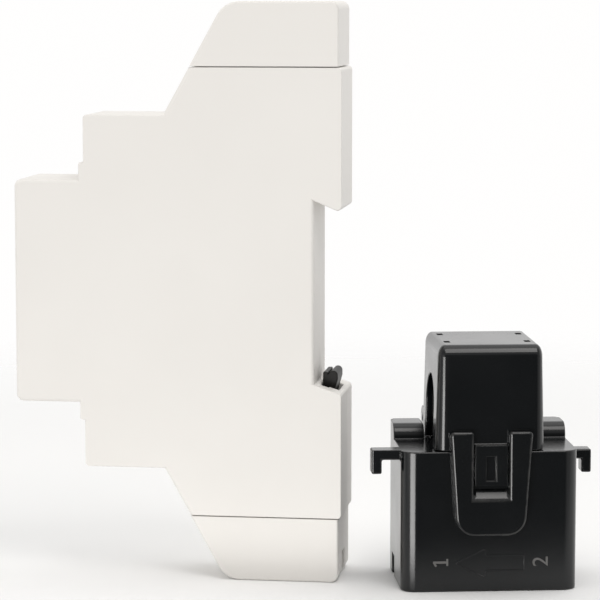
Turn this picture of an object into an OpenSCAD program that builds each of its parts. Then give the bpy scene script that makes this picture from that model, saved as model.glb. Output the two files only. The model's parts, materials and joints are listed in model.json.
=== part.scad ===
// Smart energy monitor: a rail-mounted meter one module wide, and its split-core current sensor.
// The origin is the middle of the rail seat. +X runs back to the wall, -X to the front, +Z up.

/* [Meter case] */
// Width across the meter, one rail module
meter_w = 17.5; // [16.5:0.5:20]
// Height of the case between its two terminal covers
case_h = 90; // [86:1:96]
// Height of the nose that shows through a panel
nose_h = 45; // [41:1:48]
// Height across the shoulders behind the nose
shoulder_h = 71; // [66:1:76]
// Depth from the rail seat to the front of the nose
nose_d = 60.8; // [57:0.2:66]
// Depth from the rail seat to the shoulders
shoulder_d = 46.6; // [44:0.2:50]
// Depth from the rail seat to the foot of each slope
slope_d = 30.4; // [29:0.2:33]
// Lean of the slopes back from upright, in degrees
slope_lean = 29; // [25:1:31]
// Depth of the case behind the rail seat
lip_d = 5.5; // [5:0.25:7]
// Thickness of the walls of the case
case_wall = 1.6; // [1.2:0.1:2]
// Round of the outer corners of the nose
nose_r = 1.5; // [0.5:0.25:3]
// Round of the outer corners of the shoulders and lips
edge_r = 0.8; // [0.4:0.1:1.2]
// Height of the collar around the root of the nose
collar_h = 3.5; // [2:0.5:5]
// Reach of that collar in front of the shoulders
collar_d = 1; // [0.5:0.25:2]

/* [Rail seat] */
// Height of the rail that the meter clips on
rail_h = 35; // [33:0.5:37]
// Thickness of that rail
rail_t = 1; // [1:0.1:1.5]
// Room above the rail at the root of the fixed hook
hook_room = 1.2; // [0.6:0.1:2]
// Grip of the fixed hook over the upper edge of the rail
hook_grip = 1.1; // [0.6:0.1:1.6]
// Room below the rail at the lower lip
lip_room = 0.6; // [0.4:0.1:1]
// Fall of the lower lip towards the back
lip_fall = 1.8; // [1:0.1:2.5]

/* [Rail clip] */
// Width of the clip
clip_w = 8; // [6:0.5:9]
// Thickness of the clip
clip_t = 2; // [1.6:0.1:2.4]
// Reach of the guide flange on each side of the clip
flange_w = 1; // [0.6:0.1:1.4]
// Thickness of that flange
flange_t = 1; // [0.8:0.1:1.2]
// Reach of the tooth behind the strip of the clip
tooth_d = 1; // [0.8:0.1:1.2]
// Grip of the tooth over the lower edge of the rail
clip_grip = 1.8; // [1.2:0.1:2.4]
// Depth of the pull end inside the lower cover
clip_recess = 1; // [0.5:0.25:2]
// Running gap around the clip
clip_gap = 0.2; // [0.1:0.05:0.3]
// Travel of the clip when it is pulled down to let the rail go
clip_travel = 4; // [3:0.25:5]

/* [Terminal covers] */
// Height of each terminal cover
cover_h = 13; // [12:0.5:16]
// Thickness of the walls of a cover
cover_wall = 1.4; // [1.2:0.1:1.8]
// Open seam between a cover and the case
seam_gap = 0.2; // [0.2:0.05:0.5]
// Step of a cover in from the back of the case
cover_step = 0.6; // [0:0.1:1]
// Round between the slope and the end of a cover
cover_r = 5; // [2:0.5:6]
// Round between the end and the back of a cover
cover_back_r = 1.6; // [0.5:0.1:2.5]
// Wire hole in the end of a cover
wire_d = 4.2; // [3:0.1:5]
// Driver hole in the slope of a cover
driver_d = 4.6; // [4.4:0.1:5.2]

/* [Terminals] */
// Height of the screws beyond the end of the case
screw_rise = 5.2; // [4.8:0.1:5.6]
// Depth of each terminal block inside the case
block_sink = 8.5; // [6:0.5:10]
// Diameter of a terminal screw
screw_d = 2.8; // [2.4:0.1:3]
// Diameter of the head of a screw
head_d = 4.2; // [3.6:0.1:4.4]
// Thickness of the head of a screw
head_t = 1.7; // [1.2:0.1:2]
// Height of a rising cage
cage_h = 5.4; // [4.4:0.2:6]
// Side wall of a cage
cage_side = 0.8; // [0.6:0.1:1]
// Threaded front wall of a cage
cage_front = 1.6; // [1.2:0.1:2]
// Back wall of a cage
cage_back = 1; // [0.8:0.1:1.4]
// Mouth of an open cage, front to back
cage_mouth = 4.6; // [4:0.1:5]
// Travel of a cage from open to clamped
clamp_travel = 2.8; // [2:0.1:3]
// Thickness of a busbar
bar_t = 1; // [0.8:0.1:1.2]
// Plastic between moving metal and the outside of a block
block_wall = 1; // [0.8:0.1:1.2]
// Running gap around the metal parts
metal_gap = 0.1; // [0.06:0.02:0.14]
// Gap between two fixed parts that fit together
fit_gap = 0.15; // [0.1:0.05:0.25]

/* [Board] */
// Thickness of the main board
board_t = 1.6; // [1.2:0.2:2]
// Gap from the edge of the board to the walls
board_gap = 0.4; // [0.2:0.1:0.8]
// Diameter of the posts that grip the board
post_d = 4.4; // [4:0.2:5]
// Diameter of the pins through the board
pin_d = 2; // [1.6:0.1:2.2]
// Gap from the front of the nose wall to the board
board_setback = 4.2; // [3.8:0.1:5]
// Distance of the rear posts in front of the back edge of the board
post_setback = 12; // [8:0.5:14]
// Height of the rear posts above and below the middle
post_level = 14.5; // [12:0.5:16]
// Margin from the front posts to the shoulders
post_margin = 2; // [1:0.5:4]
// Size of the mains film capacitor along the depth and the height
film_size = [18, 11]; // [8:1:20]
// Depth of the film capacitor's middle in front of the rail seat
film_x = 16; // [14:0.5:18]
// Diameter of a bulk capacitor
bulk_d = 5.8; // [4:0.2:6]
// Length of a bulk capacitor
bulk_l = 12; // [8:1:16]
// Depth of the first bulk capacitor in front of the rail seat
bulk_x = 22; // [20:0.5:26]
// Gap between the bulk capacitors
bulk_gap = 0.6; // [0.2:0.1:2]
// Diameter of the surge varistor
varistor_d = 7; // [5:0.5:9]
// Thickness of the surge varistor
varistor_t = 3.4; // [2.5:0.1:4]
// Diameter of the fuse
fuse_d = 3; // [2:0.25:4]
// Length of the fuse
fuse_l = 9; // [6:0.5:12]
// Size of the radio module along the depth and the height
radio_size = [16, 24]; // [12:1:26]
// Size of the screening can on the radio module
can_size = [13.6, 16.8]; // [8:0.4:20]
// Size of the metering chip along the depth and the height
chip_size = [6, 7]; // [4:0.5:9]
// Depth of the metering chip and the varistor in front of the rail seat
chip_x = 12.5; // [10:0.5:16]
// Reach of the legs of the chip beyond its ends
leg_reach = 1; // [0.5:0.1:1.5]
// Distance of parts from the top or bottom of the shoulders
part_edge = 10; // [9:0.5:11]

/* [Front] */
// Width of the front panel plate
panel_w = 13; // [11:0.5:14]
// Height of the front panel plate
panel_h = 40; // [34:1:40]
// Thickness of the front panel plate
panel_t = 0.7; // [0.5:0.1:0.9]
// Diameter of the push button
button_d = 4; // [3.4:0.2:5]
// Height of the push button below the middle of the nose
button_drop = 8; // [6:0.5:10]
// How far the button stands out of the panel
button_proud = 0.2; // [0:0.1:0.4]
// Rim that keeps the button and the light guide behind the wall
rim_w = 0.8; // [0.5:0.1:1]
// Length of the stem behind the button
stem_l = 0.8; // [0.6:0.1:1]
// Diameter of the stem and of the switch plunger
stem_d = 1.8; // [1.2:0.1:2.2]
// Length of the switch plunger
plunger_l = 1.5; // [1.3:0.1:1.8]
// Width of the light guide
light_w = 2.8; // [2:0.2:3.4]
// Height of the light guide
light_h = 9.8; // [8:0.2:12]
// Height of the middle of the light guide
light_z = 9; // [8:0.5:11]
// Size of an indicator light along the depth, the width and the height
lamp_size = [2.5, 1.5, 1.8]; // [1:0.1:3]

/* [Sensor base] */
// Width of the sensor along the conductor
sensor_w = 35; // [32:0.5:40]
// Depth of the sensor
sensor_d = 25; // [24:0.5:28]
// Height of the base up to its shelf
base_h = 28; // [26:0.5:32]
// Thickness of the walls of the base
base_wall = 1.4; // [1.2:0.1:1.5]
// Round of the upright corners of the base
base_r = 3; // [1.5:0.25:4]
// Height of the hinge blocks above the shelf
block_h = 3; // [2:0.25:4]
// Depth of the hinge blocks
block_d = 9; // [6:0.5:10]
// Round of the upper front edge of the hinge blocks
block_r = 2.5; // [1.5:0.25:3]
// Reach of a tie hook out of the end of the base
hook_reach = 5.7; // [4.5:0.1:7]
// Thickness of a tie hook
hook_t = 2; // [1.5:0.1:2.4]
// Drop of the tip of a tie hook
hook_drop = 4.8; // [3.6:0.1:6]
// Width of a tie hook
hook_w = 4; // [3:0.25:5]
// Step of the right tie hook below the left one
hook_step = 2.8; // [0:0.2:6]
// Width of the lead outlet
outlet_w = 4; // [2:0.25:5]
// Height of the lead outlet
outlet_h = 4.2; // [2:0.2:5]

/* [Sensor jaw] */
// Width of the jaw along the conductor
jaw_w = 22; // [20:0.5:24]
// Height of the jaw above the shelf
jaw_h = 21; // [19.5:0.5:24]
// Round of the edges of the jaw
jaw_r = 2.2; // [1:0.1:3]
// Diameter of the conductor opening
opening_d = 13; // [11:0.5:13.5]
// Height of the middle of that opening above the shelf
opening_rise = 7.5; // [6.8:0.1:7.8]
// Gap between the jaw and the base
jaw_gap = 0.2; // [0.15:0.05:0.3]
// Step of the jaw in from the front of the base
jaw_step = 0.1; // [0:0.05:0.2]
// Wall of the jaw
jaw_wall = 1.3; // [1:0.1:1.4]
// Wall of the liner around the conductor opening
liner_wall = 1.2; // [0.8:0.1:1.4]
// Side of the square pits in the top of the jaw
pit_w = 1.2; // [0.8:0.1:1.6]
// Distance of the pits from the ends and the front of the jaw
pit_edge = [3, 6.5]; // [2.5:0.1:7]
// Diameter of the hinge knuckles
knuckle_d = 4.8; // [4:0.2:5.4]
// Diameter of the hinge pin
hinge_pin_d = 1.8; // [1.4:0.1:2.2]
// Height of the hinge pin above the shelf
hinge_rise = 2.7; // [2.6:0.1:3.2]
// Half length of the middle ear of the hinge
ear_half = 5.6; // [4:0.2:7]
// Step of the knuckles in from the ends of the jaw
knuckle_step = 0.4; // [0:0.1:1]
// Drop of the gusset under the ear below the shelf
ear_drop = 7; // [5:0.5:12]

/* [Sensor latch] */
// Thickness of the latch plate
latch_t = 1.8; // [1.4:0.1:2.4]
// Width of the latch plate at its top
latch_w = 16.4; // [14:0.2:18]
// Width of the latch plate at its foot, before rounding
latch_foot_w = 13.6; // [12.4:0.2:15]
// Round of the foot of the latch plate
latch_foot_r = 3.8; // [3:0.2:6]
// Gap between the latch plate and the front of the base
latch_gap = 0.2; // [0.15:0.05:0.3]
// Rise of the prongs above the shelf
prong_rise = 4.2; // [3:0.2:6]
// Drop of the latch plate below the shelf
latch_drop = 16.6; // [14:0.2:20]
// Width of the window between the prongs
window_w = 7; // [6:0.2:8]
// Drop of the window below the shelf
window_drop = 7.2; // [6:0.2:9]
// Fall of the sloping sill of the window
window_ramp = 2; // [1:0.1:3]
// Gap around the tongue of the jaw in the window
tongue_gap = 0.3; // [0.2:0.05:0.5]
// Thickness of the tongue of the jaw
tongue_t = 1.1; // [0.8:0.1:1.4]
// Rise of the root of the tongue above the shelf
tongue_rise = 1.4; // [1:0.1:3]
// Width of the slot in the tongue
tongue_slot = 2; // [1.4:0.1:2.6]
// Plastic left around and behind that slot
tongue_edge = 0.8; // [0.5:0.1:1]

/* [Sensor core] */
// Width of the core along the conductor
core_w = 18; // [14:0.5:18.5]
// Thickness of the yoke of the lower core
yoke_h = 4.5; // [3:0.25:6]
// Height of the lower core above the floor
core_rise = 8; // [7:0.25:9]
// Build of the winding around its former
winding_t = 3; // [1.5:0.25:3.5]
// Wall of the former
former_wall = 1; // [0.8:0.1:1.2]
// Room for the leaf spring above the upper core
spring_room = 1; // [0.8:0.1:1.4]
// Thickness of the leaf spring
spring_t = 0.3; // [0.2:0.05:0.4]
// Width of the leaf spring
spring_w = 6; // [4:0.5:10]
// Gap where the two cores meet
core_gap = 0.1; // [0.05:0.05:0.2]
// Thickness of the floor plate
floor_t = 1.5; // [1.2:0.1:2]

/* [Placing] */
// Distance of the sensor behind the rail seat
sensor_x = 33; // [31:0.5:60]
// Turn of the sensor about the upright
sensor_turn = 12; // [-20:1:20]

/* [Hidden] */

$fn = 64;
cut = 1;
arc_steps = 8;
case_colour = [0.92, 0.90, 0.87];
sensor_colour = [0.07, 0.07, 0.08];
metal_colour = [0.75, 0.75, 0.76];

// Places along the height of the meter
case_top = case_h / 2;
cover_low = case_top + seam_gap;
cover_top = case_top + cover_h;
seat_high = rail_h / 2 + hook_room;
seat_low = -rail_h / 2 - lip_room;
hook_tip = rail_h / 2 - hook_grip;
lip_back = seat_low - lip_fall;
cover_x = lip_d - cover_step;

// Places of the clip: its channel runs down the back of the lower half
clip_x = rail_t + clip_gap;
clip_top = -rail_h / 2 + clip_grip;
clip_low = -cover_top + clip_recess;
channel_x = clip_x - clip_gap;
channel_web = channel_x - case_wall;
flange_top = lip_back - clip_gap;

// Places of a terminal, worked forwards from the back of its block
screw_z = case_top + screw_rise;
block_low = case_top - block_sink;
block_top = cover_top - cover_wall - fit_gap;
block_w = meter_w - 2 * cover_wall - 2 * fit_gap;
chamber_w = (block_w - 3 * block_wall) / 2;
pole_y = (chamber_w + block_wall) / 2;
cage_w = chamber_w - 2 * metal_gap;
bar_w = cage_w - 2 * cage_side - 4 * metal_gap;
block_back = channel_web - 2 * fit_gap;
chamber_back = block_back - block_wall;
cage_x1 = chamber_back - 2 * metal_gap;
mouth_back = cage_x1 - cage_back;
mouth_front = mouth_back - cage_mouth;
cage_x0 = mouth_front - cage_front;
bar_x = mouth_front + 2 * metal_gap;
chamber_front = cage_x0 - clamp_travel - 2 * metal_gap;
head_x1 = chamber_front - block_wall - metal_gap;
head_x0 = head_x1 - head_t;
block_front = head_x0 - 3 * metal_gap;
wire_x = (bar_x + bar_t + mouth_back) / 2;

// Gaps that no size sets: beside a tall part, and under a part on the board
part_gap = 0.3;
solder_gap = 0.05;

// Places of the board: it lies on the middle plane, with parts on both faces
face_y = board_t / 2;
side_room = meter_w / 2 - case_wall - face_y;
board_front = -nose_d + case_wall + board_setback;
board_back = -case_wall - board_gap;
board_top = block_low - 2 * fit_gap;
foot_h = 2.5;
part_z = shoulder_h / 2 - part_edge;

// Posts that grip the board, two behind the shoulders and two behind the seat
post_edge = post_d / 2 + board_gap;
posts = [for (z = [-1, 1]) each [
    [-shoulder_d + case_wall + post_edge + post_margin,
        z * (shoulder_h / 2 - case_wall - post_edge - post_margin)],
    [board_back - post_setback, z * post_level]
]];

// Places of the front: panel plate, button and switch
wall_x = -nose_d + case_wall;
button_z = -button_drop;
rim_x0 = wall_x + fit_gap;
rim_x1 = rim_x0 + rim_w;
stem_end = rim_x1 + stem_l;
plunger_x = stem_end + solder_gap;
plunger_in = 0.5;
switch_x = plunger_x + plunger_l - plunger_in;
switch_size = [3.5, 3.4, 6];

// Places of the sensor, in its own frame with its floor at zero and its front at -Y
front_y = -sensor_d / 2;
back_y = sensor_d / 2;
jaw_d = sensor_d - 2 * jaw_step;
jaw_low = base_h + jaw_gap;
jaw_top = base_h + jaw_h;
opening_z = base_h + opening_rise;
opening_r = opening_d / 2;
liner_r = opening_r + liner_wall;
leg_in = liner_r + fit_gap;
leg_out = jaw_d / 2 - jaw_wall - fit_gap;
core_top = jaw_top - jaw_wall - spring_room;
hinge_y = back_y + knuckle_d / 2 + jaw_gap;
hinge_z = base_h + hinge_rise;
knuckle_in = ear_half + jaw_gap;
knuckle_out = jaw_w / 2 - knuckle_step;
block_in = jaw_w / 2 + 2 * fit_gap;
latch_y = front_y - latch_gap;
former_out = fit_gap + former_wall + winding_t;
former_y = leg_in - fit_gap;

// Unit direction of a vector
function unit(v) = v / norm(v);

// Point of the line through p along u that lies on the line through q along v
function meet(p, u, q, v) = p + u * (cross(q - p, v) / cross(u, v));

// Points of the arc of radius r that rounds corner b between its neighbours a and c
function corner(a, b, c, r) =
    r <= 0 ? [b] :
    let (u = unit(a - b), v = unit(c - b), half = acos(u * v) / 2)
    let (hub = b + unit(u + v) * r / sin(half), p = b + u * r / tan(half), q = b + v * r / tan(half))
    let (start = atan2(p.y - hub.y, p.x - hub.x), raw = atan2(q.y - hub.y, q.x - hub.x) - start)
    let (sweep = raw > 180 ? raw - 360 : raw < -180 ? raw + 360 : raw)
    [for (i = [0:arc_steps]) let (t = start + sweep * i / arc_steps) hub + r * [cos(t), sin(t)]];

// Outline with each corner [x, y, r] rounded by its radius
function outline(c) = [for (i = [0:len(c) - 1])
    let (a = c[(i + len(c) - 1) % len(c)], b = c[i], d = c[(i + 1) % len(c)])
    each corner([a.x, a.y], [b.x, b.y], [d.x, d.y], b.z)];

// Outline moved in by d along every side, for corners listed counter-clockwise
function inset(c, d) = [for (i = [0:len(c) - 1])
    let (a = c[(i + len(c) - 1) % len(c)], b = c[i], e = c[(i + 1) % len(c)])
    let (u = unit([b.x - a.x, b.y - a.y]), v = unit([e.x - b.x, e.y - b.y]), p = [b.x, b.y])
    meet(p + d * [-u.y, u.x], u, p + d * [-v.y, v.x], v)];

// Depth of the slope at a height
function slope_x(z) = -slope_d + (abs(z) - shoulder_h / 2) * tan(slope_lean);

// Corners of the collar from the nose out to the shoulder, as [depth, height, corner radius]
function collar_corners(side) = [
    [-shoulder_d - collar_d, side * nose_h / 2, 0],
    [-shoulder_d - collar_d, side * (nose_h / 2 + collar_h), collar_d / 2],
    [-shoulder_d, side * (nose_h / 2 + collar_h), 0]
];

// Side outline, with the corners at the lower and the upper root of the nose
function side_corners(low_root, high_root) = [
    [-nose_d, nose_h / 2, nose_r],
    [-nose_d, -nose_h / 2, nose_r],
    each low_root,
    [-shoulder_d, -shoulder_h / 2, edge_r],
    [-slope_d, -shoulder_h / 2, 0],
    [slope_x(case_top), -case_top, 0],
    [lip_d, -case_top, edge_r],
    [lip_d, lip_back, edge_r],
    [0, seat_low, 0],
    [0, seat_high, 0],
    [lip_d, hook_tip, edge_r],
    [lip_d, case_top, edge_r],
    [slope_x(case_top), case_top, 0],
    [-slope_d, shoulder_h / 2, 0],
    [-shoulder_d, shoulder_h / 2, edge_r],
    each high_root
];

// Outer outline of the case, and the one without the collar for what lies inside the walls
upper_collar = collar_corners(1);
case_corners = side_corners(collar_corners(-1), [upper_collar[2], upper_collar[1], upper_collar[0]]);
room_corners = side_corners([[-shoulder_d, -nose_h / 2, 0]], [[-shoulder_d, nose_h / 2, 0]]);

// Box between two opposite corners
module box(a, b) {
    translate(a) cube(b - a);
}

// Side outline drawn between two places across the width
module slab(y0, y1) {
    translate([0, y1, 0]) rotate([90, 0, 0]) linear_extrude(y1 - y0) children();
}

// Front outline drawn between two places along X
module bar(x0, x1) {
    translate([x0, 0, 0]) rotate([90, 0, 90]) linear_extrude(x1 - x0) children();
}

// Round rod along X
module rod_x(d, x0, x1) {
    translate([x0, 0, 0]) rotate([0, 90, 0]) cylinder(d = d, h = x1 - x0);
}

// Round rod along Y
module rod_y(d, y0, y1) {
    translate([0, y1, 0]) rotate([90, 0, 0]) cylinder(d = d, h = y1 - y0);
}

// Rectangle with true round corners
module round_rect(w, d, r) {
    square([w - 2 * r, d], center = true);
    square([w, d - 2 * r], center = true);
    for (x = [-1, 1], y = [-1, 1]) translate([x * (w / 2 - r), y * (d / 2 - r)]) circle(r);
}

// Upper end of the meter, or its mirror image at the lower end
module at_end(up) {
    if (up) children();
    else mirror([0, 0, 1]) children();
}

// Sensor's own frame, beside the meter and level with its lower end
module at_sensor() {
    translate([sensor_x, 0, -cover_top]) rotate([0, 0, sensor_turn]) children();
}

// Channel of the rail clip: wide for its flanges, deep where its tooth runs, open behind the eye at its foot
module clip_channel() {
    low = -cover_top - cut;
    high = seat_low + cut;
    back = clip_x + clip_t + clip_gap;
    wide = clip_w / 2 + flange_w + clip_gap;
    narrow = clip_w / 2 + clip_gap;
    box([channel_x, -wide, low], [clip_x + flange_t + clip_gap, wide, high]);
    box([channel_x, -narrow, low], [back, narrow, high]);
    box([channel_x, -narrow, flange_top - tooth_d - clip_travel - clip_gap], [back + tooth_d, narrow, high]);
    box([channel_x, -clip_w / 2 + clip_t, low], [lip_d + cut, clip_w / 2 - clip_t, clip_low + 2 * clip_t]);
}

// Holes for the button, the light guide and the panel plate in the front of the nose
module front_cuts() {
    box([-nose_d - cut, -panel_w / 2 - fit_gap, -panel_h / 2 - fit_gap],
        [-nose_d + panel_t, panel_w / 2 + fit_gap, panel_h / 2 + fit_gap]);
    translate([0, 0, button_z]) rod_x(button_d + 2 * fit_gap, -nose_d - cut, wall_x + cut);
    translate([0, 0, light_z]) box([-nose_d - cut, -light_w / 2 - fit_gap, -light_h / 2 - fit_gap],
        [wall_x + cut, light_w / 2 + fit_gap, light_h / 2 + fit_gap]);
}

// Half of the case on the +Y side, without its posts
module case_half() {
    difference() {
        slab(0, meter_w / 2) polygon(outline(case_corners));
        difference() {
            slab(-cut, meter_w / 2 - case_wall) polygon(inset(room_corners, case_wall));
            box([channel_web, -meter_w, -case_h], [lip_d + cut, meter_w, 0]);
        }
        clip_channel();
        front_cuts();
        for (up = [true, false]) at_end(up)
            box([block_front - fit_gap, -meter_w, block_low], [block_back + fit_gap, block_w / 2 + fit_gap,
                case_top + cut]);
    }
}

module case_left() {
    color(case_colour) {
        case_half();
        for (p = posts) translate([p.x, 0, p.y]) {
            rod_y(post_d, face_y + solder_gap, meter_w / 2 - case_wall / 2);
            rod_y(pin_d, -face_y - pin_d, face_y + cut);
        }
    }
}

module case_right() {
    color(case_colour) {
        mirror([0, 1, 0]) case_half();
        for (p = posts) translate([p.x, 0, p.y]) difference() {
            rod_y(post_d, -meter_w / 2 + case_wall / 2, -face_y - solder_gap);
            rod_y(pin_d + 2 * metal_gap, -face_y - pin_d - 2 * fit_gap, 0);
        }
    }
}

// Terminal cover at the upper end, whose back inside face is at back
module cover(back) {
    corners = [
        [slope_x(cover_low), cover_low, 0],
        [cover_x, cover_low, 0],
        [cover_x, cover_top, cover_back_r],
        [slope_x(cover_top), cover_top, cover_r]
    ];
    deep = cover_low - cover_h;
    room = [[slope_x(deep), deep], [cover_x, deep], [cover_x, cover_top], [slope_x(cover_top), cover_top]];
    difference() {
        slab(-meter_w / 2, meter_w / 2) polygon(outline(corners));
        intersection() {
            slab(-meter_w / 2 + cover_wall, meter_w / 2 - cover_wall) polygon(inset(room, cover_wall));
            box([-nose_d, -meter_w, 0], [back, meter_w, cover_top]);
        }
        for (y = [-pole_y, pole_y]) {
            translate([wire_x, y, block_top]) cylinder(d = wire_d, h = cover_h);
            translate([0, y, screw_z]) rod_x(driver_d, -slope_d - cut, block_front);
        }
    }
}

module top_cover() {
    color(case_colour) cover(lip_d);
}

module bottom_cover() {
    color(case_colour) difference() {
        mirror([0, 0, 1]) cover(channel_web);
        clip_channel();
    }
}

// Strip with guide flanges, a rounded tooth behind the rail and an eye for a driver at its foot
module rail_clip() {
    half = clip_w / 2;
    back = clip_x + clip_t;
    tooth_r = clip_grip / 2;
    tooth_x = back + tooth_d - tooth_r;
    color([0.06, 0.06, 0.06]) difference() {
        union() {
            box([clip_x, -half, clip_low], [back, half, clip_top - clip_grip]);
            box([clip_x, -half - flange_w, clip_low], [clip_x + flange_t, half + flange_w, flange_top]);
            slab(-half, half) {
                translate([tooth_x, clip_top - tooth_r]) circle(tooth_r);
                polygon([
                    [clip_x, flange_top],
                    [back, flange_top - tooth_d],
                    [tooth_x + tooth_r, clip_top - clip_grip],
                    [tooth_x + tooth_r, clip_top - tooth_r],
                    [tooth_x - tooth_r, clip_top - tooth_r],
                    [clip_x + flange_t, clip_top - tooth_r],
                    [clip_x + flange_t, clip_top - tooth_r / 3],
                    [clip_x, clip_top - tooth_r / 3]
                ]);
            }
        }
        box([0, -half + clip_t, clip_low + clip_t], [lip_d, half - clip_t, clip_low + 2 * clip_t]);
    }
}

module front_panel() {
    color([0.80, 0.80, 0.79]) difference() {
        box([-nose_d, -panel_w / 2, -panel_h / 2], [-nose_d + panel_t, panel_w / 2, panel_h / 2]);
        translate([0, 0, button_z]) rod_x(button_d + 2 * fit_gap, -nose_d - cut, wall_x);
        translate([0, 0, light_z]) box([-nose_d - cut, -light_w / 2 - fit_gap, -light_h / 2 - fit_gap],
            [wall_x, light_w / 2 + fit_gap, light_h / 2 + fit_gap]);
    }
}

// Clear bar that carries the lights to the panel, with a flange behind the wall
module light_guide() {
    rim = [light_w / 2 + rim_w, light_h / 2 + rim_w];
    color([0.55, 0.58, 0.60]) translate([0, 0, light_z]) {
        box([-nose_d, -light_w / 2, -light_h / 2], [rim_x1, light_w / 2, light_h / 2]);
        box([rim_x0, -rim.x, -rim.y], [rim_x1, rim.x, rim.y]);
    }
}

module push_button() {
    color([0.70, 0.70, 0.69]) translate([0, 0, button_z]) {
        rod_x(button_d, -nose_d - button_proud, rim_x1);
        rod_x(button_d + 2 * rim_w, rim_x0, rim_x1);
        rod_x(stem_d, rim_x0, stem_end);
    }
}

module switch_plunger() {
    color([0.15, 0.15, 0.15]) translate([0, 0, button_z])
        rod_x(stem_d, plunger_x, plunger_x + plunger_l);
}

// Switch body in a notch of the board, with a bore for its plunger
module tact_switch() {
    color(metal_colour) translate([switch_x, 0, button_z]) difference() {
        translate([0, -switch_size.y / 2, -switch_size.z / 2]) cube(switch_size);
        rod_x(stem_d + 2 * metal_gap, -cut, plunger_l);
    }
}

// Three lights on the left face of the board, just behind the light guide
module indicator_lights() {
    color([0.90, 0.90, 0.80]) for (i = [-1:1])
        translate([board_front - lamp_size.x / 2, face_y, light_z + i * light_h / 3 - lamp_size.z / 2])
            cube(lamp_size);
}

module main_board() {
    edge = inset(room_corners, case_wall + board_gap);
    color([0.10, 0.35, 0.20]) difference() {
        intersection() {
            slab(-face_y, face_y) polygon(edge);
            box([board_front, -meter_w, -board_top], [board_back, meter_w, board_top]);
        }
        for (p = posts) translate([p.x, 0, p.y]) rod_y(pin_d + 2 * fit_gap, -meter_w, meter_w);
        box([-nose_d, -meter_w, button_z - switch_size.z / 2 - metal_gap],
            [switch_x + switch_size.x + metal_gap, meter_w, button_z + switch_size.z / 2 + metal_gap]);
    }
}

// Small board with a screening can, on the left face of the main board
module radio_module() {
    card_t = 0.8;
    can_t = 2.2;
    edge = (radio_size.x - can_size.x) / 2;
    color([0.70, 0.71, 0.72]) translate([-shoulder_d + case_wall + post_margin, face_y, -nose_h / 2]) {
        cube([radio_size.x, card_t, radio_size.y]);
        translate([edge, 0, edge]) cube([can_size.x, card_t + can_t, can_size.y]);
    }
}

// Chip on the right face of the board, with a row of legs along two sides
module metering_chip() {
    body_t = 1.5;
    leg = [0.4, 0.3, chip_size.y + 2 * leg_reach];
    color([0.12, 0.12, 0.13]) translate([-chip_x, -face_y, -part_z]) {
        translate([-chip_size.x / 2, -body_t, -chip_size.y / 2]) cube([chip_size.x, body_t, chip_size.y]);
        for (i = [-1.5:1.5])
            translate([i * chip_size.x / 4 - leg.x / 2, -leg.y, -leg.z / 2]) cube(leg);
    }
}

// Mains capacitor, filling the room beside the board near the supply terminals
module film_capacitor() {
    thick = side_room - part_gap;
    color([0.75, 0.62, 0.20])
        translate([-film_x - film_size.x / 2, -face_y - thick, part_z - film_size.y / 2])
            cube([film_size.x, thick, film_size.y]);
}

module bulk_capacitors() {
    centre_y = -face_y - solder_gap - bulk_d / 2;
    color([0.16, 0.17, 0.22]) for (i = [0, 1])
        translate([-bulk_x - i * (bulk_d + bulk_gap), centre_y, -bulk_l / 2])
            cylinder(d = bulk_d, h = bulk_l);
}

module varistor() {
    color([0.12, 0.25, 0.55]) translate([-chip_x, 0, part_z])
        rod_y(varistor_d, face_y, face_y + varistor_t);
}

module fuse() {
    fuse_x = -bulk_x - bulk_d;
    color([0.65, 0.60, 0.50]) translate([0, -face_y - solder_gap - fuse_d / 2, post_level])
        rod_x(fuse_d, fuse_x - fuse_l, fuse_x);
}

// Block with two chambers, open at its end for the wires
module terminal_block() {
    difference() {
        box([block_front, -block_w / 2, block_low], [block_back, block_w / 2, block_top]);
        for (y = [-pole_y, pole_y]) translate([0, y, 0]) {
            box([chamber_front, -chamber_w / 2, screw_z - cage_h / 2 - 2 * metal_gap],
                [chamber_back, chamber_w / 2, block_top + cut]);
            translate([0, 0, screw_z]) {
                rod_x(head_d + 4 * metal_gap, block_front - cut, head_x1 + metal_gap);
                rod_x(screw_d + 4 * metal_gap, block_front, chamber_front + cut);
            }
            box([bar_x - metal_gap, -bar_w / 2 - metal_gap, block_low - cut],
                [bar_x + bar_t + metal_gap, bar_w / 2 + metal_gap, screw_z]);
        }
    }
}

// Flat bar from inside a cage down to a foot on the board
module busbars() {
    high = screw_z + cage_h / 2 - metal_gap;
    foot_top = board_top - fit_gap;
    for (side = [-1, 1]) mirror([0, side < 0 ? 1 : 0, 0]) {
        box([bar_x, pole_y - bar_w / 2, foot_top - foot_h], [bar_x + bar_t, pole_y + bar_w / 2, high]);
        box([bar_x, face_y, foot_top - foot_h], [bar_x + bar_t, pole_y, foot_top]);
    }
}

// Cross-slotted screw whose tip rests on its busbar
module clamp_screw(y) {
    slot_w = 0.7;
    slot_d = head_t / 2;
    translate([0, y, screw_z]) difference() {
        union() {
            rod_x(head_d, head_x0, head_x1);
            rod_x(screw_d, head_x0 + slot_d, bar_x - metal_gap);
        }
        for (turn = [0, 90]) rotate([turn, 0, 0])
            box([head_x0 - cut, -head_d, -slot_w / 2], [head_x0 + slot_d, head_d, slot_w / 2]);
    }
}

// Open frame that the screw draws against the busbar
module clamp_cage(y) {
    translate([0, y, screw_z]) difference() {
        box([cage_x0, -cage_w / 2, -cage_h / 2], [cage_x1, cage_w / 2, cage_h / 2]);
        box([mouth_front, -cage_w / 2 + cage_side, -cage_h], [mouth_back, cage_w / 2 - cage_side, cage_h]);
        rod_x(screw_d + metal_gap, cage_x0 - cut, mouth_front + cut);
    }
}

module top_block() {
    color([0.80, 0.80, 0.78]) terminal_block();
}

module bottom_block() {
    color([0.80, 0.80, 0.78]) at_end(false) terminal_block();
}

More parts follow.
